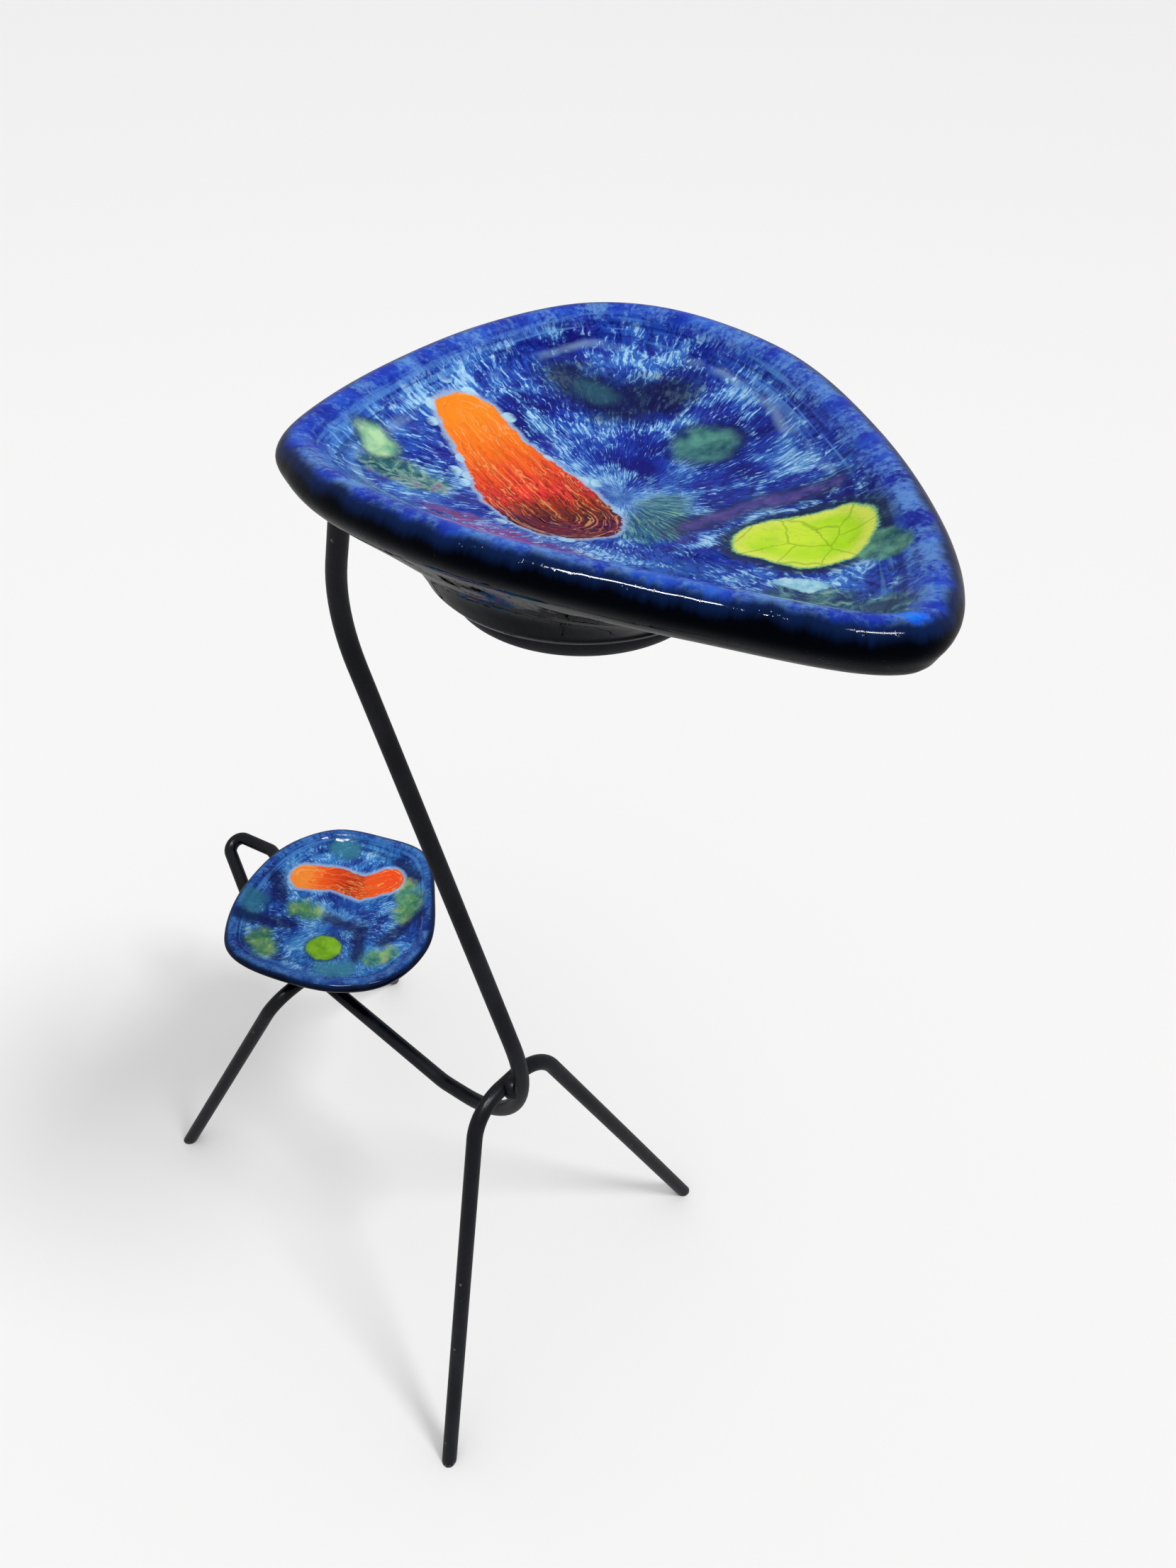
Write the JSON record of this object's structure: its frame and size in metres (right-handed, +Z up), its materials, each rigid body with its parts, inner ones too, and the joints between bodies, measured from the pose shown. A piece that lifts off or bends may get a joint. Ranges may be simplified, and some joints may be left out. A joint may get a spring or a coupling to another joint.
{
  "type": "bird bath",
  "caption": "Free-standing bird bath with a large and a small lift-off ceramic dish on a bent steel rod stand with splayed legs.",
  "frame": {"origin": "on the ground, under the middle of the object's bounding box", "axes": "+Z up, +X to the front, towards which the upper dish reaches, +Y to the left"},
  "size_m": [0.4499, 0.2166, 0.5533],
  "materials": {
    "upper_glaze": "glossy cobalt glaze with pale blue crystalline streaks, orange, lime and teal patches",
    "lower_glaze": "glossy mid-blue glaze with navy strokes, an orange zigzag and a green disc",
    "black_paint": "satin black paint on steel rod"
  },
  "bodies": {
    "stand": {"spine_rod": "black_paint", "upper_ring": "black_paint", "lower_ring": "black_paint", "front_leg_bracket": "black_paint", "rear_leg_bracket": "black_paint", "front_leg_braze": "black_paint", "rear_leg_braze": "black_paint", "upper_ring_braze": "black_paint", "lower_ring_braze": "black_paint"},
    "upper_dish": {"upper_dish": "upper_glaze"},
    "lower_dish": {"lower_dish": "lower_glaze"}
  },
  "joints": [
    {"name": "upper_dish_lift", "type": "slide", "parent": "stand", "child": "upper_dish", "axis": [0, 0, 1], "range_m": [0, 0.1]},
    {"name": "lower_dish_lift", "type": "slide", "parent": "stand", "child": "lower_dish", "axis": [0, 0, 1], "range_m": [0, 0.08]}
  ]
}
